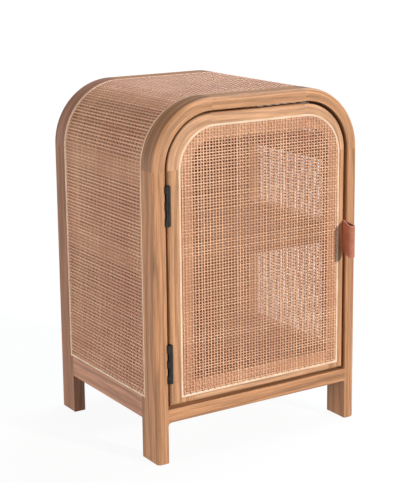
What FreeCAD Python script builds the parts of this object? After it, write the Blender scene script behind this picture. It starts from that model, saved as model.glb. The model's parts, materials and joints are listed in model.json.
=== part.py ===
import FreeCAD, Part
import math
import os

# Side table with an arched wooden carcass, wrapped cane webbing and an inset cane door.
# Millimetres. Origin on the floor at the middle of the carcass, +X to the right, +Y to the back,
# +Z up. The door is at the front, facing -Y, and is hinged on its left edge.

# ---- carcass: overall size and the section of its arched frames ----
width = 408.0             # over the posts, along X
depth = 348.0             # over the two arched frames, along Y
height = 600.0
shoulder_radius = 111.0   # outer radius of the rounded shoulders
band = 21.5               # thickness of a frame member, seen from the front
member_depth = 50.0       # depth of a frame member, seen from the side
leg_clearance = 70.0      # floor to the underside of the rails
front_rail_height = 23.0
side_rail_height = 50.0
outer_edge_round = 8.0    # outer arris of the frames
inner_edge_round = 1.5    # arris round the openings
foot_round = 2.0          # edges of the feet
rail_cove = 6.0           # cove under the front and back rails, where they meet the legs

# ---- shelf, boards and the rails that the side webbing hides ----
upper_space = 250.5       # shelf to the underside of the top
shelf_thickness = 12.0
shelf_setback = 54.0      # front edge of the shelf behind the front of the carcass
shelf_rail_height = 32.0
upper_rail_drop = 29.0    # underside of the upper side rails below the shoulder joints
upper_rail_height = 40.0
bottom_board_thickness = 12.0
bottom_board_gap = 3.0    # back of the door to the front edge of the bottom board
back_panel_thickness = 6.0
back_rebate = 8.0         # width of the ledge that the back panel sits on
panel_clearance = 0.3     # round the back panel

# ---- cane webbing and the reed splines that hold it ----
webbing_thickness = 1.6
webbing_sink = 0.2          # face of the webbing below the wood beside it
mesh_opening = 18.0         # side of a square opening, which stands for a group of small holes
mesh_bar = 18.0             # webbing between two openings
mesh_margin = 8.0           # edge of the webbing to the nearest opening, at least
spline_width = 4.5
spline_depth = 5.0          # bottom of the groove below the wood
spline_sink = 0.3           # face of a spline below the wood beside it
spline_crown = 1.2          # rounding of a spline's outer edges
frame_spline_margin = 8.5   # middle of a frame's spline to the inner edge of the frame
rail_spline_margin = 11.5   # middle of a side rail's spline to the top of the rail

# ---- door ----
door_gap = 4.4
door_recess = 1.6         # front of the door behind the front of the carcass
door_thickness = 19.0
hinge_stile_width = 46.6
lock_stile_width = 33.6
door_top_width = 41.6
door_bottom_width = 34.6
door_opening_radius = 42.0
door_edge_round = 5.0
door_spline_left = 23.6   # edge of the door to the middle of its spline, on each side
door_spline_right = 13.1
door_spline_top = 19.6
door_spline_bottom = 12.6
door_spline_radius = 69.0

# ---- butt hinges ----
hinge_length = 65.0
upper_hinge_drop = 55.5   # middle of the upper hinge below the shoulder joint
lower_hinge_rise = 74.1   # middle of the lower hinge above the bottom of the door
knuckle_radius = 3.7
knuckle_count = 5
knuckle_gap = 0.3
leaf_thickness = 1.2
leaf_margin = 2.0         # back edge of the door's leaf to the back of the door
leaf_setback = 2.0        # front edge of the post's leaf behind the front of the carcass
hinge_screw_inset = 9.0   # end of a leaf to its outermost screws
hinge_screw_edge = 6.5    # back edge of a leaf to its screws
pin_radius = 1.75
pin_clearance = 0.05
pin_head_radius = 3.1
pin_tip_radius = 1.5
pin_head_height = 1.4
barrel_clearance = 0.3    # barrel to the post and to the door

# ---- leather loop pull ----
strap_thickness = 1.2
strap_height = 56.0
pull_drop = 152.5         # middle of the tails below the shoulder joint
pull_tail_margin = 2.0    # tails to the back of the door
pull_neck = 2.4           # tails in front of the door, before they part
pull_reach = 30.0         # loop in front of the door
pull_droop = 5.5          # front of the loop below its neck
pull_loop_radius = 5.0    # inside radius at the front of the loop
pull_loop_lean = 1.5      # middle of the loop to the left of the middle of the tails
pull_screw_spacing = 32.0
pull_screw_edge = 7.5     # back edge of the tails to the screws

# ---- magnetic catch and its strike plate ----
catch_depth = 11.0        # off the post
catch_height = 46.0
catch_drop = 94.0         # middle of the catch below the shoulder joint
catch_margin = 3.5        # back of the catch to the back edge of the post
catch_edge_round = 1.0
catch_screw_inset = 7.0   # end of the catch to its screws
catch_screw_edge = 5.5    # back of the catch to its screws
magnet_size = 6.0
magnet_height = 26.0
magnet_wall = 1.5         # plastic beside the magnet
catch_gap = 0.3           # magnet to the strike plate
strike_thickness = 1.2
strike_width = 12.0
strike_height = 32.0
strike_edge = 1.0         # strike plate to the edge of the door
strike_screw_inset = 6.5  # end of the strike plate to its screws

# ---- dowels ----
dowel_radius = 4.0
dowel_length = 30.0
frame_dowel_spacing = 16.0
small_dowel_radius = 3.0
small_dowel_length = 24.0
rail_dowel_inset = 8.0    # top of the lower side rail to its upper dowels
rail_dowel_spacing = 20.0
upper_rail_dowel_rise = 6.0   # underside of the upper side rail to its dowels
top_dowel_spacing = 65.0
shelf_dowel_spacing = 124.0
door_dowel_inset = 10.5   # edge of a door member to its dowels

# ---- screws ----
fastener_clearance = 0.05
screw_radius = 1.6
screw_tip_radius = 0.2
screw_head_radius = 3.4
recess_length = 3.7       # cross recess in a screw's head
recess_width = 0.7
recess_depth = 1.1
screw_length = 14.0
panel_screw_length = 16.0
board_screw_length = 26.0
catch_screw_length = 20.0
strike_screw_length = 11.0
panel_screw_inset = 30.0  # ends of the post's ledge to the back panel's outermost screws
panel_screw_x = 55.0      # back panel's upper and lower screws to the middle
board_screw_inset = 36.0  # bottom board's screws to the posts

past = 1.0                # how far a cutting shape runs past what it cuts
tolerance = 0.01

# ---- derived places ----
half_w = width / 2
front = -depth / 2
back = depth / 2
shoulder_z = height - shoulder_radius
flat_x = half_w - shoulder_radius
inner_x = half_w - band
inner_y = depth / 2 - member_depth
rail_top = leg_clearance + front_rail_height
side_rail_top = leg_clearance + side_rail_height
cover = webbing_sink + webbing_thickness
opening_top = height - band
shelf_top = opening_top - upper_space
shelf_bottom = shelf_top - shelf_thickness
upper_rail_bottom = shoulder_z - upper_rail_drop

door_front = front + door_recess
door_back = door_front + door_thickness
door_x = inner_x - door_gap
door_bottom = rail_top + door_gap
door_top = opening_top - door_gap
door_radius = shoulder_radius - band - door_gap
door_opening_x0 = -door_x + hinge_stile_width
door_opening_x1 = door_x - lock_stile_width

spline_half = spline_width / 2
front_spline_y = front + member_depth - frame_spline_margin
side_spline_z = side_rail_top - rail_spline_margin
web_y = -front_spline_y - spline_half
web_z = side_spline_z + spline_half
panel_front = back - back_panel_thickness
board_front = door_back + bottom_board_gap

Vector = FreeCAD.Vector
AXIS_X = Vector(1, 0, 0)
AXIS_Y = Vector(0, 1, 0)
AXIS_Z = Vector(0, 0, 1)


# ---- basic shapes ----
def box(x0, x1, y0, y1, z0, z1):
    """A box between two corners, given in any order."""
    low = Vector(min(x0, x1), min(y0, y1), min(z0, z1))
    return Part.makeBox(abs(x1 - x0), abs(y1 - y0), abs(z1 - z0), low)


def rod(centre, direction, radius, length):
    """A cylinder whose middle is at centre."""
    start = centre - direction * (length / 2)
    return Part.makeCylinder(radius, length, start, direction)


def arc_through(a, middle, b):
    return Part.Arc(a, middle, b).toShape()


def panel(x0, x1, z0, z1, radius, y0, y1):
    """An upright slab with its two upper corners rounded, square at the bottom."""
    k = radius * (1 - math.sqrt(0.5))
    p = [
        Vector(x0, y0, z0), Vector(x0, y0, z1 - radius), Vector(x0 + k, y0, z1 - k),
        Vector(x0 + radius, y0, z1), Vector(x1 - radius, y0, z1), Vector(x1 - k, y0, z1 - k),
        Vector(x1, y0, z1 - radius), Vector(x1, y0, z0),
    ]
    edges = [
        Part.makeLine(p[0], p[1]),
        arc_through(p[1], p[2], p[3]),
        Part.makeLine(p[3], p[4]),
        arc_through(p[4], p[5], p[6]),
        Part.makeLine(p[6], p[7]),
        Part.makeLine(p[7], p[0]),
    ]
    return Part.Face(Part.Wire(edges)).extrude(Vector(0, y1 - y0, 0))


def arch(inset, z0, y0, y1):
    """The outside of the carcass, inset all round, from z0 up."""
    x = half_w - inset
    return panel(-x, x, z0, height - inset, shoulder_radius - inset, y0, y1)


def wrap(inset_out, inset_in, z0, y0, y1):
    """A layer that follows the sides, shoulders and top between two insets."""
    return arch(inset_out, z0, y0, y1).cut(arch(inset_in, z0 - past, y0 - past, y1 + past))


def mirror_x(shape):
    return shape.mirror(Vector(0, 0, 0), AXIS_X)


def mirror_y(shape):
    return shape.mirror(Vector(0, 0, 0), AXIS_Y)


def only_solid(shape):
    """The single solid of a boolean result."""
    solids = shape.Solids
    if len(solids) != 1:
        raise ValueError("expected one solid, found %d" % len(solids))
    return solids[0]


def bore(shape, holes):
    """Cuts the holes whose boxes meet the shape."""
    meeting = [h for h in holes if h.BoundBox.intersect(shape.BoundBox)]
    return shape.cut(meeting) if meeting else shape


# ---- picking edges ----
def near(a, b):
    return abs(a - b) < tolerance


def middle_of(edge):
    return edge.valueAt((edge.FirstParameter + edge.LastParameter) / 2)


def edges_on_face(shape, y):
    """Edges that lie in the upright plane at y."""
    return [
        e for e in shape.Edges
        if near(middle_of(e).y, y) and all(near(v.Y, y) for v in e.Vertexes)
    ]


def on_outline(edge, inset):
    """True for an edge on the outline of the carcass, inset by that much."""
    m = middle_of(edge)
    if near(abs(m.x), half_w - inset) or near(m.z, height - inset):
        return True
    radius = math.hypot(abs(m.x) - flat_x, m.z - shoulder_z)
    return m.z > shoulder_z and near(radius, shoulder_radius - inset)


def match(shape, edge):
    """The edge of a shape that has the same middle as an edge from before a fillet."""
    target = middle_of(edge)
    return min(shape.Edges, key=lambda e: (middle_of(e) - target).Length)


# ---- screws and dowels ----
def cross_recess(head, direction):
    """The driver's cross in the head of a screw."""
    half_l, half_s = recess_length / 2, recess_width / 2
    cross = box(-half_l, half_l, -half_s, half_s, 0, recess_depth)
    cross = cross.fuse(box(-half_s, half_s, -half_l, half_l, 0, recess_depth))
    turn = FreeCAD.Rotation(AXIS_Z, direction)
    return cross.transformed(FreeCAD.Placement(head, turn).toMatrix())


def screw(head, direction, length):
    """A flat-head screw: its head's face is centred on head, and it points along direction."""
    taper = screw_head_radius - screw_radius
    shank_end = head + direction * (length - screw_radius)
    cone = Part.makeCone(screw_head_radius, screw_radius, taper, head, direction)
    shank = Part.makeCylinder(screw_radius, length - screw_radius, head, direction)
    point = Part.makeCone(screw_radius, screw_tip_radius, screw_radius, shank_end, direction)
    return only_solid(cone.fuse([shank, point]).cut(cross_recess(head, direction)))


def screw_hole(head, direction, length):
    """The space that a screw takes, with its clearance."""
    taper = screw_head_radius - screw_radius
    c = fastener_clearance
    cone = Part.makeCone(screw_head_radius + c, screw_radius + c, taper, head, direction)
    shank = Part.makeCylinder(screw_radius + c, length + c, head, direction)
    return cone.fuse(shank)


def screw_set(heads, direction, length):
    """Screws and their holes, for heads in one direction."""
    screws = [screw(h, direction, length) for h in heads]
    holes = [screw_hole(h, direction, length) for h in heads]
    return screws, holes


def dowel_set(places, radius, length):
    """Dowels and their holes. A place is (centre, direction)."""
    c = fastener_clearance
    pegs = [rod(centre, d, radius, length) for centre, d in places]
    holes = [rod(centre, d, radius + c, length + 2 * c) for centre, d in places]
    return pegs, holes


# ---- openings of the webbing ----
def mesh_places(start, end):
    """Middles of the openings in a row between two edges, as many as the margins leave room for."""
    pitch = mesh_opening + mesh_bar
    room = end - start - 2 * mesh_margin - mesh_opening
    count = max(math.floor(room / pitch) + 1, 0)
    first = (start + end - (count - 1) * pitch) / 2
    return [first + i * pitch for i in range(count)]


def side_openings():
    """Openings of the left upright length of the carcass's webbing."""
    half = mesh_opening / 2
    x0, x1 = -half_w - past, -half_w + cover + past
    return [
        box(x0, x1, y - half, y + half, z - half, z + half)
        for y in mesh_places(-web_y, web_y) for z in mesh_places(web_z, shoulder_z)
    ]


def door_openings():
    """Openings of the door's webbing, left out where a rounded corner would cut them."""
    half = mesh_opening / 2
    inset = spline_half + mesh_margin
    y0, y1 = door_front - past, door_back
    room = door_outline(-inset, y0, y1)
    x0, x1 = -door_x + door_spline_left + spline_half, door_x - door_spline_right - spline_half
    z0, z1 = door_bottom + door_spline_bottom + spline_half, door_top - door_spline_top - spline_half
    openings = [
        box(x - half, x + half, y0, y1, z - half, z + half)
        for x in mesh_places(x0, x1) for z in mesh_places(z0, z1)
    ]
    return [o for o in openings if all(room.isInside(v.Point, tolerance, True) for v in o.Vertexes)]


# ---- webbing and splines of the carcass ----
def carcass_webbing():
    """The sheet round the carcass, in three lengths that meet at the shoulder joints, by name."""
    sheet = wrap(webbing_sink, cover, web_z, -web_y, web_y)
    over = sheet.common(box(-half_w, half_w, -web_y, web_y, shoulder_z, height))
    left = bore(sheet.common(box(-half_w, 0, -web_y, web_y, web_z, shoulder_z)), side_openings())
    return {
        "carcass_webbing": only_solid(over),
        "left_side_webbing": only_solid(left),
        "right_side_webbing": mirror_x(only_solid(left)),
    }


def door_webbing():
    sheet = door_outline(-spline_half, door_front + webbing_sink, door_front + cover)
    return only_solid(bore(sheet, door_openings()))


def frame_spline():
    """The front spline: up the left post, over the top and down the right post."""
    loop = wrap(spline_sink, spline_depth, side_spline_z - spline_half,
                front_spline_y - spline_half, front_spline_y + spline_half)
    crown = [
        e for e in loop.Edges
        if on_outline(e, spline_sink) and near(abs(middle_of(e).y - front_spline_y), spline_half)
    ]
    return only_solid(loop.makeFillet(spline_crown, crown))


def rail_spline():
    """The left lower spline, between the two upright ones."""
    outer = -half_w + spline_sink
    strip = box(outer, -half_w + spline_depth, -web_y, web_y,
                side_spline_z - spline_half, side_spline_z + spline_half)
    crown = [e for e in strip.Edges if near(middle_of(e).x, outer) and near(middle_of(e).y, 0)]
    return only_solid(strip.makeFillet(spline_crown, crown))


def carcass_grooves():
    """What is cut from the wood for the webbing and the splines."""
    upright = wrap(-past, spline_depth, side_spline_z - spline_half,
                   front_spline_y - spline_half, front_spline_y + spline_half)
    level = box(-half_w - past, -half_w + spline_depth, -web_y, web_y,
                side_spline_z - spline_half, side_spline_z + spline_half)
    rebate = wrap(-past, cover, web_z, -web_y, web_y)
    return [upright, mirror_y(upright), level, mirror_x(level), rebate]


# ---- arched frames ----
def leg_opening(y0, y1):
    """The space between the legs below the rail, coved at its upper corners."""
    space = box(-inner_x, inner_x, y0, y1, -past, leg_clearance)
    corners = [
        e for e in space.Edges
        if near(middle_of(e).z, leg_clearance) and near(abs(middle_of(e).x), inner_x)
    ]
    return space.makeFillet(rail_cove, corners)


def arched_frame():
    """The whole front frame in one piece, before it is cut into its members."""
    y0, y1 = front, front + member_depth
    ring = arch(0, 0, y0, y1)
    ring = ring.cut(panel(-inner_x, inner_x, rail_top, opening_top, shoulder_radius - band,
                          y0 - past, y1 + past))
    ring = ring.cut(leg_opening(y0 - past, y1 + past))
    face = [e for e in edges_on_face(ring, y0) if middle_of(e).z > tolerance]
    outer = [e for e in face if on_outline(e, 0)]
    inner = [e for e in face if not on_outline(e, 0)]
    ring = ring.makeFillet(outer_edge_round, outer)
    ring = ring.makeFillet(inner_edge_round, [match(ring, e) for e in inner])
    feet = [e for e in ring.Edges if near(e.BoundBox.ZMin, 0) and near(e.BoundBox.ZMax, 0)]
    return ring.makeFillet(foot_round, feet)


def frame_members(ring):
    """Cuts a frame into its two posts, two shoulders and two rails, by name."""
    far = width + height
    y0, y1 = ring.BoundBox.YMin - past, ring.BoundBox.YMax + past
    low = box(-inner_x, inner_x, y0, y1, 0, rail_top + past)
    posts = ring.common(box(-far, far, y0, y1, -past, shoulder_z)).cut(low).Solids
    posts.sort(key=lambda s: s.BoundBox.XMin)
    return {
        "left_post": posts[0],
        "right_post": posts[1],
        "bottom_rail": only_solid(ring.common(low)),
        "top_rail": only_solid(ring.common(box(-flat_x, flat_x, y0, y1, shoulder_z, far))),
        "left_shoulder": only_solid(ring.common(box(-far, -flat_x, y0, y1, shoulder_z, far))),
        "right_shoulder": only_solid(ring.common(box(flat_x, far, y0, y1, shoulder_z, far))),
    }


def back_ledge():
    """The rebate behind the back frame that the back panel sits in."""
    x = inner_x + back_rebate
    return panel(-x, x, rail_top - back_rebate, opening_top + back_rebate,
                 shoulder_radius - band + back_rebate, panel_front, back + past)


def back_panel():
    x = inner_x + back_rebate - panel_clearance
    return panel(-x, x, rail_top - back_rebate + panel_clearance,
                 opening_top + back_rebate - panel_clearance,
                 shoulder_radius - band + back_rebate - panel_clearance, panel_front, back)


# ---- rails and boards between the two frames ----
def side_rails():
    """The three left rails. The lower one is flush, the others lie inside the webbing."""
    inside = arch(cover, 0, -inner_y, inner_y)
    lower = box(-half_w, -inner_x, -inner_y, inner_y, leg_clearance, side_rail_top)
    shelf = box(-half_w, -inner_x, -inner_y, inner_y, shelf_bottom, shelf_bottom + shelf_rail_height)
    upper = box(-half_w, -inner_x, -inner_y, inner_y, upper_rail_bottom,
                upper_rail_bottom + upper_rail_height)
    return {"lower_rail": lower, "shelf_rail": shelf.common(inside), "upper_rail": upper.common(inside)}


def boards():
    under_webbing = arch(cover, 0, -inner_y, inner_y)
    return {
        "top_board": under_webbing.common(box(-half_w, half_w, -inner_y, inner_y, opening_top, height)),
        "middle_shelf": box(-inner_x, inner_x, front + shelf_setback, panel_front,
                            shelf_bottom, shelf_top),
        "bottom_board": box(-inner_x, inner_x, board_front, panel_front,
                            rail_top, rail_top + bottom_board_thickness),
    }


# ---- door ----
def door_outline(grow, y0, y1):
    """The line along the middle of the door's spline, grown by that much, as a slab."""
    return panel(-door_x + door_spline_left - grow, door_x - door_spline_right + grow,
                 door_bottom + door_spline_bottom - grow, door_top - door_spline_top + grow,
                 door_spline_radius + grow, y0, y1)


def door_frame():
    """The door's frame in one piece, with its opening, spline groove and webbing rebate."""
    slab = panel(-door_x, door_x, door_bottom, door_top, door_radius, door_front, door_back)
    slab = slab.makeFillet(door_edge_round, edges_on_face(slab, door_front))
    opening = panel(door_opening_x0, door_opening_x1, door_bottom + door_bottom_width,
                    door_top - door_top_width, door_opening_radius,
                    door_front - past, door_back + past)
    groove = door_outline(spline_half, door_front - past, door_front + spline_depth)
    island = door_outline(-spline_half, front - past, door_back)
    rebate = door_outline(-spline_half, door_front - past, door_front + cover)
    return slab.cut([opening, groove.cut(island), rebate])


def door_members(frame):
    """Cuts the door's frame into stiles, corners and rails, by name."""
    far = width + height
    y0, y1 = door_front - past, door_back + past
    low = box(door_opening_x0, door_opening_x1, y0, y1, 0, door_bottom + door_bottom_width)
    return {
        "door_bottom_rail": frame.common(low),
        "door_hinge_stile": frame.common(box(-far, door_opening_x0, y0, y1, 0, shoulder_z)),
        "door_lock_stile": frame.common(box(door_opening_x1, far, y0, y1, 0, shoulder_z)),
        "door_left_corner": frame.common(box(-far, -flat_x, y0, y1, shoulder_z, far)),
        "door_right_corner": frame.common(box(flat_x, far, y0, y1, shoulder_z, far)),
        "door_top_rail": frame.common(box(-flat_x, flat_x, y0, y1, shoulder_z, far)),
    }


def door_spline():
    face = door_front + spline_sink
    loop = door_outline(spline_half, face, door_front + spline_depth)
    loop = loop.cut(door_outline(-spline_half, door_front - past, door_back))
    return only_solid(loop.makeFillet(spline_crown, edges_on_face(loop, face)))


# ---- hinges ----
leaf_width = door_thickness - leaf_margin
hinge_x = -inner_x + barrel_clearance + knuckle_radius
hinge_y = door_front - barrel_clearance - knuckle_radius


def knuckle_spans(z):
    """Low and high end of each knuckle of a hinge centred at z."""
    pitch = (hinge_length + knuckle_gap) / knuckle_count
    start = z - hinge_length / 2
    return [(start + i * pitch, start + (i + 1) * pitch - knuckle_gap) for i in range(knuckle_count)]


def leaf_parts(z, plate, wing_of, first):
    """The seat of a leaf and its solid: plate, wings and every second knuckle from first on."""
    spans = knuckle_spans(z)[first::2]
    seat = [plate] + [wing_of(k0, k1) for k0, k1 in spans]
    barrels = [
        Part.makeCylinder(knuckle_radius, k1 - k0, Vector(hinge_x, hinge_y, k0)) for k0, k1 in spans
    ]
    pin_hole = rod(Vector(hinge_x, hinge_y, z), AXIS_Z, pin_radius + pin_clearance, hinge_length + past)
    return seat, seat[0].fuse(seat[1:] + barrels).cut(pin_hole)


def frame_wing(k0, k1):
    """Joins the post's leaf to a knuckle, round the inner edge of the post."""
    return box(-inner_x - leaf_thickness, -inner_x + barrel_clearance + leaf_thickness,
               hinge_y - leaf_thickness / 2, front + leaf_setback + leaf_thickness, k0, k1)


def door_wing(k0, k1):
    """Joins the door's leaf to a knuckle, past the front edge of the door."""
    return box(-door_x, -door_x + leaf_thickness, hinge_y + knuckle_radius / 2,
               door_front + leaf_thickness, k0, k1)


def leaf(z, plate, wing_of, first, face_x, direction):
    """A finished leaf, its screws, and all that is cut for it."""
    seat, solid = leaf_parts(z, plate, wing_of, first)
    rise = hinge_length / 2 - hinge_screw_inset
    screw_y = plate.BoundBox.YMax - hinge_screw_edge
    heads = [Vector(face_x, screw_y, z + s * rise) for s in (-1, 0, 1)]
    screws, holes = screw_set(heads, direction, screw_length)
    return only_solid(solid.cut(holes).removeSplitter()), screws, seat + holes


def frame_leaf(z):
    z0, z1 = z - hinge_length / 2, z + hinge_length / 2
    edge = front + leaf_setback
    plate = box(-inner_x - leaf_thickness, -inner_x, edge, edge + leaf_width, z0, z1)
    return leaf(z, plate, frame_wing, 0, -inner_x, AXIS_X * -1)


def door_leaf(z):
    z0, z1 = z - hinge_length / 2, z + hinge_length / 2
    plate = box(-door_x, -door_x + leaf_thickness, door_front, door_front + leaf_width, z0, z1)
    return leaf(z, plate, door_wing, 1, -door_x, AXIS_X)


def hinge_pin(z):
    """A loose pin with a head at each end."""
    middle = Vector(hinge_x, hinge_y, z)
    pin = rod(middle, AXIS_Z, pin_radius, hinge_length)
    for way in (AXIS_Z, AXIS_Z * -1):
        end = middle + way * (hinge_length / 2)
        pin = pin.fuse(Part.makeCone(pin_head_radius, pin_tip_radius, pin_head_height, end, way))
    return only_solid(pin.removeSplitter())


# ---- leather pull ----
strap_z0 = shoulder_z - pull_drop - strap_height / 2
strap_z1 = strap_z0 + strap_height
tail_x = door_x - strap_thickness          # middle of the two tails, let into the edge of the door
tail_end = door_back - pull_tail_margin
neck_y = door_front - pull_neck
loop_front = door_front - pull_reach


def teardrop(point, centre, radius):
    """An upright prism with a sharp edge at point and a round front about centre."""
    z0, z1 = strap_z0 - pull_reach, strap_z1 + pull_reach
    axis = centre - point
    towards = math.atan2(-axis.y, -axis.x)
    spread = math.acos(radius / axis.Length)

    def around(angle):
        return Vector(centre.x + radius * math.cos(angle), centre.y + radius * math.sin(angle), z0)

    tip = Vector(point.x, point.y, z0)
    one, other = around(towards + spread), around(towards - spread)
    edges = [
        Part.makeLine(tip, one),
        arc_through(one, around(towards + math.pi), other),
        Part.makeLine(other, tip),
    ]
    return Part.Face(Part.Wire(edges)).extrude(Vector(0, 0, z1 - z0))


def leather_tails():
    return box(tail_x - strap_thickness, tail_x + strap_thickness, neck_y, tail_end, strap_z0, strap_z1)


def strap_side():
    """The strap seen from its side, as a slab: level behind the neck, hanging down in front of it."""
    y0, y1 = loop_front - past, tail_end + past
    fall = pull_droop * (neck_y - y0) / (neck_y - loop_front)
    corners = [
        (y1, strap_z0), (neck_y, strap_z0), (y0, strap_z0 - fall),
        (y0, strap_z1 - fall), (neck_y, strap_z1), (y1, strap_z1),
    ]
    side = [Vector(tail_x - pull_reach, y, z) for y, z in corners]
    return Part.Face(Part.makePolygon(side + side[:1])).extrude(Vector(2 * pull_reach, 0, 0))


def leather_pull(holes):
    """One strap folded into a loop, with its two tails side by side."""
    neck = Vector(tail_x, neck_y, 0)
    centre = Vector(tail_x - pull_loop_lean, loop_front + pull_loop_radius + strap_thickness, 0)
    outer_point = neck - (centre - neck) * (strap_thickness / pull_loop_radius)
    outer = teardrop(outer_point, centre, pull_loop_radius + strap_thickness).common(strap_side())
    hollow = teardrop(neck, centre, pull_loop_radius)
    return only_solid(outer.fuse(leather_tails()).cut([hollow] + holes).removeSplitter())


# ---- magnetic catch on the right front post, strike plate on the back of the door ----
catch_x = inner_x - catch_depth
catch_y0 = door_back + strike_thickness + catch_gap
catch_y1 = front + member_depth - catch_margin
catch_z = shoulder_z - catch_drop
strike_x = door_x - strike_edge - strike_width / 2


def catch_magnet():
    x0 = catch_x + magnet_wall
    return box(x0, x0 + magnet_size, catch_y0, catch_y0 + magnet_size,
               catch_z - magnet_height / 2, catch_z + magnet_height / 2)


def catch_housing(holes):
    body = box(catch_x, inner_x, catch_y0, catch_y1,
               catch_z - catch_height / 2, catch_z + catch_height / 2)
    body = body.makeFillet(catch_edge_round, [e for e in body.Edges if near(middle_of(e).x, catch_x)])
    return only_solid(body.cut([catch_magnet()] + holes))


def strike_plate(holes):
    plate = box(strike_x - strike_width / 2, strike_x + strike_width / 2, door_back,
                door_back + strike_thickness, catch_z - strike_height / 2, catch_z + strike_height / 2)
    return only_solid(plate.cut(holes))


# ---- places of the dowels ----
def frame_dowel_places():
    """Posts to shoulders, shoulders to top rails and posts to bottom rails, in both frames."""
    places = []
    for side in (-1, 1):
        for y in (front + member_depth / 2, back - member_depth / 2):
            for step in (-frame_dowel_spacing / 2, frame_dowel_spacing / 2):
                places += [
                    (Vector(side * (half_w - band / 2), y + step, shoulder_z), AXIS_Z),
                    (Vector(side * flat_x, y + step, height - band / 2), AXIS_X),
                    (Vector(side * inner_x, y + step, leg_clearance + front_rail_height / 2), AXIS_X),
                ]
    return places


def rail_dowel_places():
    """Side rails to the posts."""
    x = (half_w - cover + inner_x) / 2
    heights = [
        side_rail_top - rail_dowel_inset,
        side_rail_top - rail_dowel_inset - rail_dowel_spacing,
        shelf_bottom + shelf_rail_height / 2,
        upper_rail_bottom + upper_rail_dowel_rise,
    ]
    return [
        (Vector(sx * x, sy * inner_y, z), AXIS_Y) for sx in (-1, 1) for sy in (-1, 1) for z in heights
    ]


def board_dowel_places():
    """Top board to the frames, and shelf to its side rails."""
    z = (opening_top + height - cover) / 2
    places = [
        (Vector(x, sy * inner_y, z), AXIS_Y)
        for x in (-top_dowel_spacing, 0, top_dowel_spacing) for sy in (-1, 1)
    ]
    places += [
        (Vector(sx * inner_x, sy * shelf_dowel_spacing / 2, (shelf_bottom + shelf_top) / 2), AXIS_X)
        for sx in (-1, 1) for sy in (-1, 1)
    ]
    return places


def pair(start, end):
    """Two places between the edges of a member, each inset by the same distance."""
    return start + door_dowel_inset, end - door_dowel_inset


def door_dowel_places():
    """Stiles to corners, corners to top rail and stiles to bottom rail."""
    y = (door_front + spline_depth + door_back) / 2
    places = [
        (Vector(x, y, shoulder_z), AXIS_Z)
        for x in pair(-door_x, door_opening_x0) + pair(door_opening_x1, door_x)
    ]
    places += [
        (Vector(side * flat_x, y, z), AXIS_X)
        for side in (-1, 1) for z in pair(door_top - door_top_width, door_top)
    ]
    places += [
        (Vector(x, y, z), AXIS_X)
        for x in (door_opening_x0, door_opening_x1)
        for z in pair(door_bottom, door_bottom + door_bottom_width)
    ]
    return places


# ---- places of the screws ----
def panel_screw_heads():
    """Round the back panel: three in each post, two in each of the top and bottom rails."""
    x = inner_x + back_rebate / 2
    low, high = rail_top + panel_screw_inset, shoulder_z - panel_screw_inset
    heads = [Vector(side * x, back, z) for side in (-1, 1) for z in (low, (low + high) / 2, high)]
    for z in (rail_top - back_rebate / 2, opening_top + back_rebate / 2):
        heads += [Vector(side * panel_screw_x, back, z) for side in (-1, 1)]
    return heads


def board_screw_heads():
    """Through the bottom board into the front and back rails."""
    x = inner_x - board_screw_inset
    z = rail_top + bottom_board_thickness
    ys = ((board_front - inner_y) / 2, (panel_front + inner_y) / 2)
    return [Vector(side * x, y, z) for side in (-1, 1) for y in ys]


def pull_screw_heads():
    middle = (strap_z0 + strap_z1) / 2
    y = tail_end - pull_screw_edge
    return [Vector(door_x, y, middle + s * pull_screw_spacing / 2) for s in (-1, 1)]


def catch_screw_heads():
    rise = catch_height / 2 - catch_screw_inset
    return [Vector(catch_x, catch_y1 - catch_screw_edge, catch_z + s * rise) for s in (-1, 1)]


def strike_screw_heads():
    rise = strike_height / 2 - strike_screw_inset
    return [Vector(strike_x, door_back + strike_thickness, catch_z + s * rise) for s in (-1, 1)]


# ---- fasteners ----
frame_dowels, frame_holes = dowel_set(frame_dowel_places(), dowel_radius, dowel_length)
rail_dowels, rail_holes = dowel_set(rail_dowel_places(), small_dowel_radius, small_dowel_length)
board_dowels, board_holes = dowel_set(board_dowel_places(), small_dowel_radius, small_dowel_length)
door_dowels, door_holes = dowel_set(door_dowel_places(), small_dowel_radius, small_dowel_length)
panel_screws, panel_holes = screw_set(panel_screw_heads(), AXIS_Y * -1, panel_screw_length)
bottom_screws, bottom_holes = screw_set(board_screw_heads(), AXIS_Z * -1, board_screw_length)
pull_screws, pull_holes = screw_set(pull_screw_heads(), AXIS_X * -1, screw_length)
catch_screws, catch_holes = screw_set(catch_screw_heads(), AXIS_X, catch_screw_length)
strike_screws, strike_holes = screw_set(strike_screw_heads(), AXIS_Y * -1, strike_screw_length)

groups = {
    "frame_dowels": frame_dowels,
    "rail_dowels": rail_dowels,
    "board_dowels": board_dowels,
    "door_dowels": door_dowels,
    "back_panel_screws": panel_screws,
    "bottom_board_screws": bottom_screws,
    "pull_screws": pull_screws,
    "catch_screws": catch_screws,
    "strike_screws": strike_screws,
    "hinge_frame_screws": [],
    "hinge_door_screws": [],
}
nodes = {}
frame_cuts = frame_holes + rail_holes + board_holes + panel_holes + bottom_holes + catch_holes
door_cuts = door_holes + pull_holes + strike_holes + [leather_tails()]

# ---- hinges, and what they need cut ----
for prefix, z in (("upper_hinge_", shoulder_z - upper_hinge_drop),
                  ("lower_hinge_", door_bottom + lower_hinge_rise)):
    nodes[prefix + "frame_leaf"], screws, cuts = frame_leaf(z)
    groups["hinge_frame_screws"] += screws
    frame_cuts += cuts
    nodes[prefix + "door_leaf"], screws, cuts = door_leaf(z)
    groups["hinge_door_screws"] += screws
    door_cuts += cuts
    nodes[prefix + "pin"] = hinge_pin(z)

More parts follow.
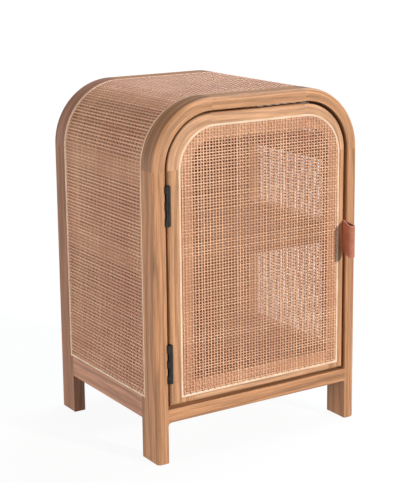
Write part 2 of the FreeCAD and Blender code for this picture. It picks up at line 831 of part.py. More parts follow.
# ---- wood of the carcass ----
front_frame = arched_frame()
back_frame = mirror_y(front_frame).cut(back_ledge())
wood = {"front_" + name: s for name, s in frame_members(front_frame).items()}
wood.update({"back_" + name: s for name, s in frame_members(back_frame).items()})
for name, rail in side_rails().items():
    wood["left_" + name] = rail
    wood["right_" + name] = mirror_x(rail)
grooves = carcass_grooves()
for name, shape in wood.items():
    wood[name] = shape.cut(grooves)
wood.update(boards())
wood["back_panel"] = back_panel()
for name, shape in wood.items():
    nodes[name] = only_solid(bore(shape, frame_cuts))

# ---- wood of the door ----
for name, shape in door_members(door_frame()).items():
    nodes[name] = only_solid(bore(shape, door_cuts))

# ---- webbing, splines, pull and catch ----
nodes.update(carcass_webbing())
nodes["front_spline"] = frame_spline()
nodes["back_spline"] = mirror_y(nodes["front_spline"])
nodes["left_lower_spline"] = rail_spline()
nodes["right_lower_spline"] = mirror_x(nodes["left_lower_spline"])
nodes["door_webbing"] = door_webbing()
nodes["door_spline"] = door_spline()
nodes["leather_pull"] = leather_pull(pull_holes)
nodes["catch_magnet"] = catch_magnet()
nodes["catch_housing"] = catch_housing(catch_holes)
nodes["strike_plate"] = strike_plate(strike_holes)
for name, solids in groups.items():
    nodes[name] = Part.makeCompound(solids)

os.makedirs("parts", exist_ok=True)
for name, shape in sorted(nodes.items()):
    if not shape.isValid():
        raise ValueError(name + " is not a valid shape")
    shape.exportStep(os.path.join("parts", name + ".step"))
    print("%-24s %2d solids" % (name, len(shape.Solids)))
print(len(nodes), "nodes")
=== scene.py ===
"""The looks of a cane side table with a door: woven cane, grained wood, reed, leather and metal.

All lengths are in metres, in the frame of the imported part: +X to the right of the door,
+Y to the back, +Z up. The arch of the front outline is a straight top between two quarter
rounds, so the angle about the middle of a quarter round gives the grain's way along it."""

import json
import math

import bpy
import numpy as np
from mathutils import Matrix, Vector


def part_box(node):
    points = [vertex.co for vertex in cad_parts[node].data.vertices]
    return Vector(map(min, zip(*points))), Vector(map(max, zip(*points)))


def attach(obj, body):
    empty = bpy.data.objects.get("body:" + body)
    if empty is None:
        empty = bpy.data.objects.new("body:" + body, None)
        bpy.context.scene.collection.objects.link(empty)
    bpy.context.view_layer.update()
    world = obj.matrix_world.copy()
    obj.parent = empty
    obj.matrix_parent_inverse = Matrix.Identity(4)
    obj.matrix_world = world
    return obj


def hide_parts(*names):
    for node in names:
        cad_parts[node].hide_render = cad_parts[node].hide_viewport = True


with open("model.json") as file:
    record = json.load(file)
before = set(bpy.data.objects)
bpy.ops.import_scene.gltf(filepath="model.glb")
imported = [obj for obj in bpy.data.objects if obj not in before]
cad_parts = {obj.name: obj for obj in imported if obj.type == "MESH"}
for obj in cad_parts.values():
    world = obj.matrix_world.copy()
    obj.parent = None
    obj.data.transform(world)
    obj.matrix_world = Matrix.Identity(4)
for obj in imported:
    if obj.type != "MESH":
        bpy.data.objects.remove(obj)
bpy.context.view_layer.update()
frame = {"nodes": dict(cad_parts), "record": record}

MM = 0.001

# ---------------------------------------------------------------- places read from the frame
post_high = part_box("front_left_post")[1]
top_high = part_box("front_top_rail")[1]
web_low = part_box("left_side_webbing")[0]
web_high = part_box("carcass_webbing")[1]
door_web_low, door_web_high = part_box("door_webbing")
SHOULDER_Z = post_high.z
FLAT_X = top_high.x
SHOULDER_RADIUS = top_high.z - SHOULDER_Z
CANE_NODES = {"left": "left_side_webbing", "over": "carcass_webbing", "right": "right_side_webbing"}

# ---------------------------------------------------------------- cane, in metres
CANE_THICKNESS = 0.62 * MM
CANE_LIFT = 0.47 * MM
CANE_TUCK = 1.2 * MM
DOOR_COLUMN_PITCH = 5.80 * MM
DOOR_ROW_PITCH = 4.88 * MM
CARCASS_ROW_PITCH = 5.78 * MM
CARCASS_COLUMN_PITCH = 4.92 * MM
DOOR_SHARE = 0.455
CARCASS_ROW_SHARE = 0.54
CARCASS_COLUMN_SHARE = 0.52
WIDTH_SPREAD = (0.93, 1.07)
TONE_SPREAD = (0.2, 0.8)
SPACING_JITTER = 0.04
WANDER = 0.16 * MM
WANDER_WAVES = (0.055, 0.13)
STEPS_PER_CROSSING = 3
END_MARGIN = 0.2  # of a crossing, from a strand's end to its first bend
CANE_PIECE_STRANDS = 18
LEVEL_TOLERANCE = 0.01 * MM
RING = ((-0.5, 0.0), (-0.3, 0.5), (0.3, 0.5), (0.5, 0.0), (0.3, -0.5), (-0.3, -0.5))
# Which ring corners lie at a strand's cut edge; the dark colour there is partly painted shade beside the
# holes.
RING_EDGE_SHADE = (1.0, 0.0, 0.0, 1.0, 0.0, 0.0)
CAPS = ((0, 1, 2, 3), (0, 3, 4, 5))
SEED = 5017


# ---------------------------------------------------------------- small helpers for nodes
class Shader:
    """A node tree with short calls for the nodes that the materials here use."""

    def __init__(self, name):
        self.material = bpy.data.materials.new(name)
        self.material.use_nodes = True
        self.tree = self.material.node_tree
        self.tree.nodes.clear()
        self.output = self.add("ShaderNodeOutputMaterial")
        self.surface = self.add("ShaderNodeBsdfPrincipled")
        self.link(self.surface.outputs[0], self.output.inputs["Surface"])

    def add(self, kind, **settings):
        node = self.tree.nodes.new(kind)
        for name, value in settings.items():
            setattr(node, name, value)
        return node

    def link(self, source, target):
        self.tree.links.new(source, target)

    def feed(self, node, values):
        """Sets or links a node's inputs, given by name or number."""
        for key, value in values.items():
            if isinstance(value, bpy.types.NodeSocket):
                self.link(value, node.inputs[key])
            else:
                node.inputs[key].default_value = value
        return node

    def math(self, operation, a, b=0.0, c=0.0):
        node = self.add("ShaderNodeMath", operation=operation)
        return self.feed(node, {0: a, 1: b, 2: c}).outputs[0]

    def vector_math(self, operation, a, b=(0.0, 0.0, 0.0)):
        node = self.add("ShaderNodeVectorMath", operation=operation)
        return self.feed(node, {0: a, 1: b}).outputs[0]

    def combine(self, x, y, z):
        return self.feed(self.add("ShaderNodeCombineXYZ"), {0: x, 1: y, 2: z}).outputs[0]

    def separate(self, vector):
        return self.feed(self.add("ShaderNodeSeparateXYZ"), {0: vector}).outputs

    def position(self):
        """Where the point is in the part's frame, at rest."""
        return self.add("ShaderNodeTexCoord").outputs["Object"]

    def noise(self, vector, scale, detail, roughness=0.5):
        node = self.add("ShaderNodeTexNoise")
        self.feed(node, {"Vector": vector, "Scale": scale, "Detail": detail, "Roughness": roughness})
        return node.outputs["Fac"]

    def remap(self, value, low, high, to_low=0.0, to_high=1.0):
        node = self.add("ShaderNodeMapRange", interpolation_type="SMOOTHSTEP")
        self.feed(node, {"Value": value, "From Min": low, "From Max": high})
        return self.feed(node, {"To Min": to_low, "To Max": to_high}).outputs[0]

    def mix(self, factor, a, b, blend="MIX"):
        node = self.add("ShaderNodeMix", data_type="RGBA", blend_type=blend)
        return self.feed(node, {0: factor, 6: a, 7: b}).outputs[2]

    def bump(self, height, strength, distance):
        node = self.add("ShaderNodeBump")
        return self.feed(node, {"Height": height, "Strength": strength, "Distance": distance}).outputs[0]


def linear(red, green, blue):
    """A colour on the screen, 0 to 255, as the linear colour that shaders take."""

    def channel(value):
        share = value / 255
        return share / 12.92 if share <= 0.04045 else ((share + 0.055) / 1.055) ** 2.4

    return (channel(red), channel(green), channel(blue), 1.0)


# ---------------------------------------------------------------- wood
def along_and_across(shader, grain):
    """The point as (along the grain, across the face, into the depth), in metres."""
    x, y, z = shader.separate(shader.position())
    if grain == "X":
        return shader.combine(x, z, y)
    if grain == "Y":
        return shader.combine(y, z, x)
    if grain == "Z":
        return shader.combine(z, x, y)
    run = shader.math("SUBTRACT", shader.math("ABSOLUTE", x), FLAT_X)
    rise = shader.math("SUBTRACT", z, SHOULDER_Z)
    angle = shader.math("ARCTAN2", rise, run)
    radius = shader.math("SQRT", shader.math("ADD", shader.math("MULTIPLY", run, run),
                                             shader.math("MULTIPLY", rise, rise)))
    return shader.combine(shader.math("MULTIPLY", angle, SHOULDER_RADIUS), radius, y)


def wood(name, grain, seed, tone, gloss=0.3):
    """Oiled hardwood in one of the tones of WOOD_TONES; some tones are darkened as painted shade."""
    shader = Shader(name)
    place = along_and_across(shader, grain)
    rng = np.random.default_rng(SEED + seed)
    shift = tuple(rng.uniform(-3, 3, 3))
    place = shader.vector_math("ADD", place, shift)

    def stretched(along, across):
        return shader.vector_math("MULTIPLY", place, (along, across, across))

    broad = shader.noise(stretched(4.0, 26.0), 1.0, 2.0)
    wave = shader.noise(stretched(3.2, 34.0), 1.0, 3.0, 0.55)
    _, across, depth = shader.separate(place)
    ring = shader.math("MULTIPLY_ADD", wave, RING_WAVE, shader.math("MULTIPLY", across, RINGS_ACROSS))
    ring = shader.math("ADD", ring, shader.math("MULTIPLY", depth, RINGS_IN_DEPTH))
    ring = shader.math("MULTIPLY_ADD", shader.math("SINE", ring), 0.5, 0.5)
    ring = shader.math("POWER", ring, RING_SHARPNESS)
    fibre = shader.noise(stretched(22.0, 900.0), 1.0, 4.0, 0.6)
    band = shader.noise(stretched(7.0, 280.0), 1.0, 2.0)
    pore_noise = shader.noise(stretched(110.0, 2400.0), 1.0, 1.0)
    pore = shader.remap(pore_noise, 0.66, 0.74)

    base = WOOD_TONES[tone]
    early = tuple(channel * EARLY_WOOD for channel in base[:3]) + (1.0,)
    late = tuple(channel * LATE_WOOD for channel in base[:3]) + (1.0,)
    colour = shader.mix(ring, early, late)
    colour = shader.mix(shader.remap(broad, 0.35, 0.75, 0.0, 0.5), colour, base)
    streak = shader.math("MULTIPLY", shader.remap(fibre, 0.3, 0.72, 0.8, 1.16),
                         shader.remap(band, 0.3, 0.7, 0.82, 1.14))
    colour = shader.mix(1.0, colour, shader.combine(streak, streak, streak), "MULTIPLY")
    # Outer faces of the rounds are darkened and greyed: partly end grain, partly painted shade where
    # they turn from the light.
    if grain == "ROUND":
        _, facing, _ = shader.separate(shader.add("ShaderNodeTexCoord").outputs["Normal"])
        end_grain_and_shade = shader.remap(shader.math("ABSOLUTE", facing), 0.2, 0.75, END_GRAIN_AND_SHADE_SHARE, 0.0)
        colour = shader.mix(end_grain_and_shade, colour, END_GRAIN_AND_SHADE_TINT, "MULTIPLY")
    colour = shader.mix(shader.math("MULTIPLY", pore, 0.5), colour, PORE_COLOUR)
    shader.feed(shader.surface, {"Base Color": colour, "Specular IOR Level": gloss})
    rough = shader.remap(fibre, 0.25, 0.75, 0.44, 0.6)
    height = shader.math("MULTIPLY_ADD", pore, -0.8, shader.math("MULTIPLY", fibre, 0.5))
    shader.feed(shader.surface, {"Roughness": rough, "Normal": shader.bump(height, 0.35, 0.15 * MM)})
    return shader.material


WOOD_GRAIN = {
    "X": (
        "front_top_rail", "back_top_rail", "front_bottom_rail", "back_bottom_rail",
        "door_top_rail", "door_bottom_rail", "top_board", "middle_shelf", "bottom_board",
    ),
    "Y": (
        "left_lower_rail", "right_lower_rail", "left_shelf_rail", "right_shelf_rail",
        "left_upper_rail", "right_upper_rail",
    ),
    "Z": (
        "front_left_post", "front_right_post", "back_left_post", "back_right_post",
        "door_hinge_stile", "door_lock_stile",
    ),
    "ROUND": (
        "front_left_shoulder", "back_left_shoulder", "front_right_shoulder", "back_right_shoulder",
        "door_left_corner", "door_right_corner",
    ),
}
WOOD_TONES = {
    "pale": linear(196, 148, 110),
    "golden": linear(183, 133, 93),
    "brown": linear(178, 127, 88),
    "rosy": linear(180, 130, 102),
    # dark: the back panel's tone, darkened as painted shade inside the case
    "dark": linear(94, 50, 25),
    # umber: the back-left post's tone, darkened as painted shade for the light falling off towards the
    # back
    "back_post_shade": linear(150, 104, 76),
    # shelf: the shelves' tone, darkened as painted shade inside the case
    "shelf": linear(132, 86, 56),
}
MEMBER_TONE = {
    "front_top_rail": "golden", "front_left_shoulder": "golden", "front_right_shoulder": "golden",
    "door_top_rail": "pale", "door_left_corner": "pale", "door_right_corner": "pale",
    "door_lock_stile": "golden", "door_hinge_stile": "golden", "door_bottom_rail": "pale",
    # back_left_post takes a tone darkened as painted shade
    "left_lower_rail": "rosy", "back_left_post": "back_post_shade", "back_left_shoulder": "rosy",
    # bottom_board and middle_shelf take the shelf tone, darkened as painted shade
    "bottom_board": "shelf", "middle_shelf": "shelf", "top_board": "golden",
}
MAIN_TONE = "brown"
DOWEL_SEED = 90
PANEL_SEED = 91
PANEL_GLOSS = 0.05
RINGS_ACROSS = 420.0  # radians a metre across the face
RINGS_IN_DEPTH = 260.0
RING_WAVE = 20.0  # radians that the rings drift sideways
RING_SHARPNESS = 1.6
EARLY_WOOD = 1.16
LATE_WOOD = 0.76
# How much the rounds' outer faces are darkened and greyed: end grain together with painted shade.
END_GRAIN_AND_SHADE_SHARE = 0.85
END_GRAIN_AND_SHADE_TINT = (0.62, 0.62, 0.66, 1.0)
PORE_COLOUR = linear(96, 58, 34)


# ---------------------------------------------------------------- other finishes
def reed(name):
    """The pale round reed that presses the cane into its groove."""
    shader = Shader(name)
    place = shader.position()
    fine = shader.noise(shader.vector_math("MULTIPLY", place, (900.0, 900.0, 900.0)), 1.0, 3.0)
    broad = shader.noise(place, 30.0, 2.0)
    colour = shader.mix(shader.remap(broad, 0.3, 0.7), linear(232, 204, 176), linear(218, 184, 152))
    colour = shader.mix(shader.remap(fine, 0.5, 0.8, 0.0, 0.4), colour, linear(186, 142, 108))
    shader.feed(shader.surface, {"Base Color": colour, "Roughness": 0.5})
    shader.feed(shader.surface, {"Normal": shader.bump(fine, 0.25, 0.1 * MM)})
    return shader.material


DOOR_CANE_TINT = (0.93, 0.88, 0.84, 1.0)
CARCASS_CANE_TINT = (0.94, 0.90, 0.88, 1.0)
# How finely the fibres vary along X, Y and Z: slowly along the strand and fast across it.
UPRIGHT_FIBRES = (700.0, 700.0, 25.0)
LEVEL_FIBRES = (25.0, 700.0, 700.0)
DEPTH_FIBRES = (700.0, 25.0, 700.0)
ROUND_FIBRES = (300.0, 900.0, 300.0)


def cane(name, stretch, tint):
    """Split cane: pale skin between dark cut edges, darkened also as painted shade beside the holes,
    fine fibres, each strand a little different.
    """
    shader = Shader(name)
    place = shader.position()
    tone = shader.add("ShaderNodeAttribute", attribute_name="tone").outputs["Fac"]
    edge = shader.add("ShaderNodeAttribute", attribute_name="edge").outputs["Fac"]
    fibre = shader.noise(shader.vector_math("MULTIPLY", place, stretch), 1.0, 3.0, 0.6)
    spots = shader.noise(place, 160.0, 2.0)
    broad = shader.noise(place, 9.0, 2.0)
    colour = shader.mix(shader.remap(tone, 0.0, 1.0), linear(214, 156, 116), linear(252, 204, 164))
    colour = shader.mix(shader.remap(broad, 0.35, 0.7, 0.0, 0.5), colour, linear(204, 140, 106))
    colour = shader.mix(shader.remap(fibre, 0.45, 0.8, 0.0, 0.45), colour, linear(170, 108, 68))
    colour = shader.mix(shader.remap(spots, 0.62, 0.8, 0.0, 0.4), colour, linear(140, 84, 50))
    # Dark cut edges, deepened as painted shade beside the holes of the weave.
    colour = shader.mix(shader.remap(edge, 0.0, 1.0, 0.0, 0.9), colour, linear(112, 54, 24))
    colour = shader.mix(1.0, colour, tint, "MULTIPLY")
    shader.feed(shader.surface, {"Base Color": colour, "Roughness": 0.46})
    shader.feed(shader.surface, {"Sheen Weight": 0.25, "Sheen Roughness": 0.4})
    shader.feed(shader.surface, {"Normal": shader.bump(fibre, 0.3, 0.08 * MM)})
    return shader.material


def black_metal(name):
    """Black painted steel, a little worn."""
    shader = Shader(name)
    place = shader.position()
    grit = shader.noise(place, 1800.0, 2.0)
    patch = shader.noise(place, 120.0, 3.0)
    colour = shader.mix(shader.remap(patch, 0.4, 0.75), linear(17, 15, 14), linear(34, 31, 29))
    shader.feed(shader.surface, {"Base Color": colour, "Metallic": 0.35})
    shader.feed(shader.surface, {"Roughness": shader.remap(patch, 0.3, 0.7, 0.34, 0.5)})
    shader.feed(shader.surface, {"Normal": shader.bump(grit, 0.25, 0.05 * MM)})
    return shader.material


def zinc_metal(name):
    """Plated steel with a soft, cloudy shine."""
    shader = Shader(name)
    place = shader.position()
    cloud = shader.noise(place, 260.0, 3.0)
    colour = shader.mix(shader.remap(cloud, 0.3, 0.7), linear(196, 196, 192), linear(168, 170, 170))
    shader.feed(shader.surface, {"Base Color": colour, "Metallic": 1.0})
    shader.feed(shader.surface, {"Roughness": shader.remap(cloud, 0.3, 0.7, 0.28, 0.45)})
    return shader.material


def leather(name):
    """Brown leather with a fine grain, and a paler raw edge where the strap is cut."""
    shader = Shader(name)
    place = shader.position()
    cells = shader.add("ShaderNodeTexVoronoi", feature="DISTANCE_TO_EDGE")
    shader.feed(cells, {"Vector": place, "Scale": 900.0})
    crease = shader.remap(cells.outputs["Distance"], 0.0, 0.12, 1.0, 0.0)
    cloud = shader.noise(place, 70.0, 3.0)
    colour = shader.mix(shader.remap(cloud, 0.3, 0.7), linear(184, 108, 77), linear(156, 87, 61))
    colour = shader.mix(shader.math("MULTIPLY", crease, 0.4), colour, linear(84, 44, 30))
    _, _, up = shader.separate(shader.add("ShaderNodeTexCoord").outputs["Normal"])
    edge = shader.remap(shader.math("ABSOLUTE", up), 0.6, 0.9)
    colour = shader.mix(edge, colour, linear(205, 158, 134))
    height = shader.math("MULTIPLY", crease, -1.0)
    shader.feed(shader.surface, {"Base Color": colour, "Roughness": 0.52})
    shader.feed(shader.surface, {"Normal": shader.bump(height, 0.4, 0.12 * MM)})
    return shader.material


def brown_plastic(name):
    """Moulded plastic of the magnetic catch."""
    shader = Shader(name)
    place = shader.position()
    texture = shader.noise(place, 2600.0, 1.0)
    colour = shader.mix(shader.remap(texture, 0.3, 0.7), linear(96, 62, 40), linear(112, 74, 50))
    shader.feed(shader.surface, {"Base Color": colour, "Roughness": 0.42})
    shader.feed(shader.surface, {"Normal": shader.bump(texture, 0.2, 0.04 * MM)})
    return shader.material


# ---------------------------------------------------------------- weaving
def corner_radius(node):
    """Radius of a plate's upper corners, read from where its straight top edge starts."""
    low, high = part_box(node)
    mesh = frame["nodes"][node].data
    top = [corner.co.x for corner in mesh.vertices if high.z - corner.co.z < LEVEL_TOLERANCE]
    return min(top) - low.x


def strand_places(start, end, pitch, rng):
    """Where parallel strands lie between two edges, a little unevenly."""
    count = round((end - start) / pitch)
    even = (np.arange(count) + 0.5) * (end - start) / count + start
    uneven = np.clip(rng.normal(0, SPACING_JITTER, count), -2 * SPACING_JITTER, 2 * SPACING_JITTER)
    return even + uneven * pitch


class Weave:
    """Closed ribbons gathered into one mesh."""

    def __init__(self):
        self.corners = []
        self.faces = []
        self.tones = []
        self.count = 0

    def ribbon(self, points, outward, width, tone):
        """A flat strand along the points, with its skin to the outward side."""
        way = np.gradient(points, axis=0)
        way /= np.linalg.norm(way, axis=1, keepdims=True)
        side = np.cross(way, outward)
        side /= np.linalg.norm(side, axis=1, keepdims=True)
        rise = np.cross(side, way)
        ring = np.array(RING)
        across = ring[None, :, :1] * side[:, None, :] * width
        through = ring[None, :, 1:] * rise[:, None, :] * CANE_THICKNESS
        corners = (points[:, None, :] + across + through).reshape(-1, 3)
        size = len(ring)
        first = np.arange(len(points) - 1)[:, None] * size + np.arange(size)[None, :]
        second = np.arange(len(points) - 1)[:, None] * size + (np.arange(size)[None, :] + 1) % size
        walls = np.stack([first, second, second + size, first + size], axis=-1).reshape(-1, 4)
        last = (len(points) - 1) * size
        caps = np.array([cap[::-1] for cap in CAPS] + [[last + k for k in cap] for cap in CAPS])
        self.corners.append(corners)
        self.faces.append(np.vstack([walls, caps]) + self.count)
        self.tones.append(np.full(len(corners), tone))
        self.count += len(corners)

    def piece(self, name, material, body, *nodes):
        """The mesh as a piece of cane that stands for nodes of the part."""
        corners = np.vstack(self.corners).astype(np.float32)
        faces = np.vstack(self.faces).astype(np.int32)
        mesh = bpy.data.meshes.new(name)
        mesh.vertices.add(len(corners))
        mesh.vertices.foreach_set("co", corners.ravel())
        mesh.loops.add(faces.size)
        mesh.loops.foreach_set("vertex_index", faces.ravel())
        mesh.polygons.add(len(faces))
        mesh.polygons.foreach_set("loop_start", np.arange(len(faces), dtype=np.int32) * 4)
        mesh.update(calc_edges=True)
        mesh.polygons.foreach_set("use_smooth", np.ones(len(faces), dtype=bool))
        tones = mesh.attributes.new("tone", "FLOAT", "POINT")
        tones.data.foreach_set("value", np.concatenate(self.tones).astype(np.float32))
        # Edge amount per corner, for the dark cut edges that also paint the shade beside the holes.
        edge_shades = mesh.attributes.new("edge", "FLOAT", "POINT")
        edge_shades.data.foreach_set("value", np.resize(RING_EDGE_SHADE, len(corners)).astype(np.float32))
        mesh.validate()
        mesh.materials.append(material)
        piece = bpy.data.objects.new(name, mesh)
        bpy.context.scene.collection.objects.link(piece)
        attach(piece, body)
        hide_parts(*nodes)


def wander(places, rng):
    """A slow sideways drift along a strand."""
    drift = np.zeros(len(places))
    for wavelength in WANDER_WAVES:
        phase = rng.uniform(0, 2 * math.pi)
        drift += np.sin(places / wavelength * 2 * math.pi + phase) * rng.uniform(0.3, 1.0)
    return drift * WANDER / 2


def strand(weave, surface, own, number, crossed, start, end, width, swap, rng):
    """One strand at place own, over and under the crossed strands, from start to end."""
    steps = (len(crossed) - 1) * STEPS_PER_CROSSING + 1
    index = np.arange(steps) / STEPS_PER_CROSSING
    places = np.interp(index, np.arange(len(crossed)), crossed)
    clear = (end - start) / len(crossed) * END_MARGIN
    places = places[(places > start + clear) & (places < end - clear)]
    places = np.concatenate([[start], places, [end]])
    index = np.interp(places, crossed, np.arange(len(crossed)))
    lift = CANE_LIFT * np.cos(math.pi * (index + number + swap))
    sideways = own + wander(places, rng)
    u, v = (places, sideways) if swap else (sideways, places)
    points, outward = surface(u, v)
    weave.ribbon(points + outward * lift[:, None], outward, width, rng.uniform(*TONE_SPREAD))


# The door's cane: a flat sheet with two rounded upper corners.
door_radius = corner_radius("door_webbing")
door_middle_y = (door_web_low.y + door_web_high.y) / 2


def door_surface(u, v):
    points = np.stack([u, np.full_like(u, door_middle_y), v], axis=-1)
    outward = np.tile([0.0, -1.0, 0.0], (len(u), 1))
    return points, outward


def door_column_end(x):
    """The height at which the rounded top edge cuts a column."""
    inside = max(door_web_low.x + door_radius - x, x - door_web_high.x + door_radius, 0.0)
    fall = door_radius - math.sqrt(max(door_radius**2 - inside**2, 0.0))
    return door_web_high.z - fall


def door_row_inset(z):
    """How far in from the sides the rounded corners cut a row."""
    above = max(z - door_web_high.z + door_radius, 0.0)
    return door_radius - math.sqrt(max(door_radius**2 - above**2, 0.0))


def weave_door():
    rng = np.random.default_rng(SEED + 1)
    columns = strand_places(door_web_low.x, door_web_high.x, DOOR_COLUMN_PITCH, rng)
    rows = strand_places(door_web_low.z, door_web_high.z, DOOR_ROW_PITCH, rng)
    upright = Weave()
    for number, x in enumerate(columns):
        width = DOOR_COLUMN_PITCH * DOOR_SHARE * rng.uniform(*WIDTH_SPREAD)
        start = door_web_low.z - CANE_TUCK
        end = door_column_end(x) + CANE_TUCK
        strand(upright, door_surface, x, number, rows, start, end, width, False, rng)
    upright_material = cane("cane_upright", UPRIGHT_FIBRES, DOOR_CANE_TINT)
    upright.piece("door_cane_upright", upright_material, "door", "door_webbing")
    level = Weave()
    for number, z in enumerate(rows):
        width = DOOR_ROW_PITCH * DOOR_SHARE * rng.uniform(*WIDTH_SPREAD)
        inset = door_row_inset(z)
        start = door_web_low.x + inset - CANE_TUCK
        end = door_web_high.x - inset + CANE_TUCK
        strand(level, door_surface, z, number, columns, start, end, width, True, rng)
    level_material = cane("cane_level", LEVEL_FIBRES, DOOR_CANE_TINT)
    level.piece("door_cane_level", level_material, "door", "door_webbing")


# The carcass's cane: one sheet up the left side, over the top and down the right side.
wrap_radius = web_high.z - SHOULDER_Z - (door_web_high.y - door_web_low.y) / 2
wrap_side = SHOULDER_Z - web_low.z
wrap_arc = wrap_radius * math.pi / 2
wrap_length = 2 * wrap_side + 2 * wrap_arc + 2 * FLAT_X


def wrap_points(u, v):
    """Points and outward directions on the wrapped sheet."""
    half = wrap_length / 2
    far = v > half
    s = np.where(far, wrap_length - v, v)
    angle = np.clip((s - wrap_side) / wrap_radius, 0.0, math.pi / 2)
    rise = np.minimum(s, wrap_side) + web_low.z
    run = np.maximum(s - wrap_side - wrap_arc, 0.0)
    x = -FLAT_X - wrap_radius * np.cos(angle) + run
    z = rise + wrap_radius * np.sin(angle)
    out_x = -np.cos(angle)
    out_z = np.sin(angle)
    sign = np.where(far, -1.0, 1.0)
    points = np.stack([x * sign, u, z], axis=-1)
    outward = np.stack([out_x * sign, np.zeros_like(u), out_z], axis=-1)
    return points, outward


def weave_carcass():
    rng = np.random.default_rng(SEED + 2)
    columns = strand_places(web_low.y, web_high.y, CARCASS_COLUMN_PITCH, rng)
    rows = strand_places(0.0, wrap_length, CARCASS_ROW_PITCH, rng)
    round_material = cane("cane_round", ROUND_FIBRES, CARCASS_CANE_TINT)
    for first in range(0, len(columns), CANE_PIECE_STRANDS):
        weave = Weave()
        for number in range(first, min(first + CANE_PIECE_STRANDS, len(columns))):
            width = CARCASS_COLUMN_PITCH * CARCASS_COLUMN_SHARE * rng.uniform(*WIDTH_SPREAD)
            strand(weave, wrap_points, columns[number], number, rows,
                   -CANE_TUCK, wrap_length + CANE_TUCK, width, False, rng)
        weave.piece(f"carcass_cane_round_{first // CANE_PIECE_STRANDS + 1}", round_material,
                    "carcass", *CANE_NODES.values())
    depth_material = cane("cane_depth", DEPTH_FIBRES, CARCASS_CANE_TINT)
    weaves = {place: Weave() for place in CANE_NODES}
    for number, s in enumerate(rows):
        width = CARCASS_ROW_PITCH * CARCASS_ROW_SHARE * rng.uniform(*WIDTH_SPREAD)
        place = "left" if s < wrap_side else "right" if s > wrap_length - wrap_side else "over"
        strand(weaves[place], wrap_points, s, number, columns,
               web_low.y - CANE_TUCK, web_high.y + CANE_TUCK, width, True, rng)
    for place, weave in weaves.items():
        weave.piece(f"carcass_cane_depth_{place}", depth_material, "carcass", CANE_NODES[place])


# ---------------------------------------------------------------- dressing the part's nodes
def dress(node, material):
    """Gives a node of the part another finish."""
    mesh = frame["nodes"][node].data
    mesh.materials.clear()
    mesh.materials.append(material)


def dress_nodes():
    dressed = set()
    seed = 0
    for grain, nodes in WOOD_GRAIN.items():
        for node in nodes:
            seed += 1
            dress(node, wood(f"wood_{node}", grain, seed, MEMBER_TONE.get(node, MAIN_TONE)))
            dressed.add(node)
    finishes = {
        "reed_spline": reed("reed"),
        "beech_dowel": wood("wood_dowel", "X", DOWEL_SEED, "pale"),
        # The back panel takes the dark tone, which is painted shade for the inside of the case.
        "plywood": wood("wood_panel", "Z", PANEL_SEED, "dark", PANEL_GLOSS),
        "black_metal": black_metal("black_metal"),
        "leather": leather("leather"),
        "catch_plastic": brown_plastic("catch_plastic"),
        "magnet": zinc_metal("magnet"),
        "zinc_steel": zinc_metal("zinc_steel"),
    }
    for part in frame["record"]["subparts"]:
        if part["node"] not in dressed and part["material_slot"] in finishes:
            dress(part["node"], finishes[part["material_slot"]])


# ---------------------------------------------------------------- studio
CAMERA_PLACE = (-1.2405, -1.9490, 0.8776)
CAMERA_YAW = 32.683
CAMERA_PITCH = 12.0
CAMERA_ROLL = -0.533
CAMERA_LENS = 99.68
CAMERA_SHIFT_Y = -0.08
LAMPS = {
    "key": ((0.36, -0.87, 0.335), 3.45, 5.0, (1.0, 0.995, 0.98)),
    "overhead": ((0.62, 0.2, 0.76), 1.9, 40.0, (0.86, 1.0, 1.15)),
    "left_fill": ((-1.0, -0.12, 0.02), 3.4, 40.0, (1.0, 0.98, 1.0)),
}
SKY = ((-1.0, 0.2), (-0.04, 0.2), (0.0, 0.6), (0.17, 0.6), (0.42, 0.1), (1.0, 0.1))
FLOOR_ALBEDO = (0.07, 0.07, 0.07, 1)
FLOOR_GLOW = 0.93
FLOOR_REACH = 40.0


def aim_camera():
    yaw, pitch, roll = (math.radians(a) for a in (CAMERA_YAW, CAMERA_PITCH, CAMERA_ROLL))
    ahead = Vector((math.sin(yaw) * math.cos(pitch), math.cos(yaw) * math.cos(pitch), -math.sin(pitch)))
    level = Vector((math.cos(yaw), -math.sin(yaw), 0.0))
    upright = level.cross(ahead)
    right = math.cos(roll) * level + math.sin(roll) * upright
    up = math.cos(roll) * upright - math.sin(roll) * level
    data = bpy.data.cameras.new("camera")
    data.lens = CAMERA_LENS
    data.shift_y = CAMERA_SHIFT_Y
    camera = bpy.data.objects.new("camera", data)
    turn = Matrix((right, up, -ahead)).transposed()
    camera.matrix_world = Matrix.Translation(CAMERA_PLACE) @ turn.to_4x4()
    bpy.context.scene.collection.objects.link(camera)
    bpy.context.scene.camera = camera


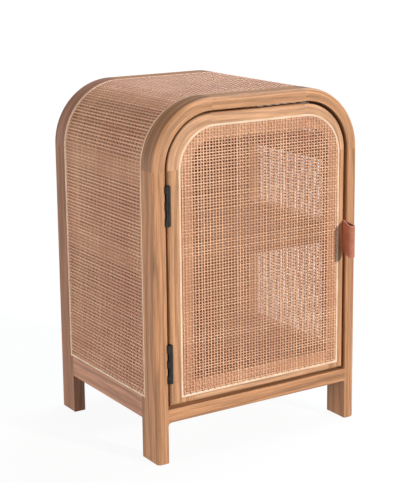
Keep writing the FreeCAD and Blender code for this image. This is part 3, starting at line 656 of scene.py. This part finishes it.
def light_studio():
    for name, (way, strength, angle, colour) in LAMPS.items():
        data = bpy.data.lights.new(name, "SUN")
        data.energy = strength
        data.angle = math.radians(angle)
        data.color = colour
        lamp = bpy.data.objects.new(name, data)
        lamp.rotation_euler = Vector(way).to_track_quat("Z", "Y").to_euler()
        bpy.context.scene.collection.objects.link(lamp)

    world = bpy.data.worlds.new("studio")
    bpy.context.scene.world = world
    world.use_nodes = True
    tree = world.node_tree
    tree.nodes.clear()
    output = tree.nodes.new("ShaderNodeOutputWorld")
    sky = tree.nodes.new("ShaderNodeBackground")
    ramp = tree.nodes.new("ShaderNodeValToRGB")
    place = tree.nodes.new("ShaderNodeTexCoord")
    split = tree.nodes.new("ShaderNodeSeparateXYZ")
    tree.links.new(place.outputs["Generated"], split.inputs[0])
    lowest, highest = SKY[0][0], SKY[-1][0]
    spread = tree.nodes.new("ShaderNodeMapRange")
    spread.inputs["From Min"].default_value = lowest
    spread.inputs["From Max"].default_value = highest
    tree.links.new(split.outputs[2], spread.inputs["Value"])
    tree.links.new(spread.outputs[0], ramp.inputs[0])
    tree.links.new(ramp.outputs[0], sky.inputs[0])
    tree.links.new(sky.outputs[0], output.inputs[0])
    stops = ramp.color_ramp.elements
    while len(stops) < len(SKY):
        stops.new(0.5)
    for stop, (rise, level) in zip(stops, SKY):
        stop.position = (rise - lowest) / (highest - lowest)
        stop.color = (level, level, level, 1)


def lay_floor():
    reach = FLOOR_REACH
    mesh = bpy.data.meshes.new("floor")
    mesh.from_pydata(
        [(-reach, -reach, 0), (reach, -reach, 0), (reach, reach, 0), (-reach, reach, 0)],
        [], [(0, 1, 2, 3)],
    )
    floor = bpy.data.objects.new("floor", mesh)
    bpy.context.scene.collection.objects.link(floor)
    shader = Shader("floor")
    shader.feed(shader.surface, {"Base Color": FLOOR_ALBEDO, "Roughness": 0.9})
    shader.feed(shader.surface, {"Emission Color": (1, 1, 1, 1), "Emission Strength": FLOOR_GLOW})
    shader.feed(shader.surface, {"Specular IOR Level": 0.1})
    mesh.materials.append(shader.material)
    floor.visible_diffuse = False


aim_camera()
light_studio()
lay_floor()
dress_nodes()
weave_door()
weave_carcass()
bpy.context.scene.view_settings.view_transform = "Standard"
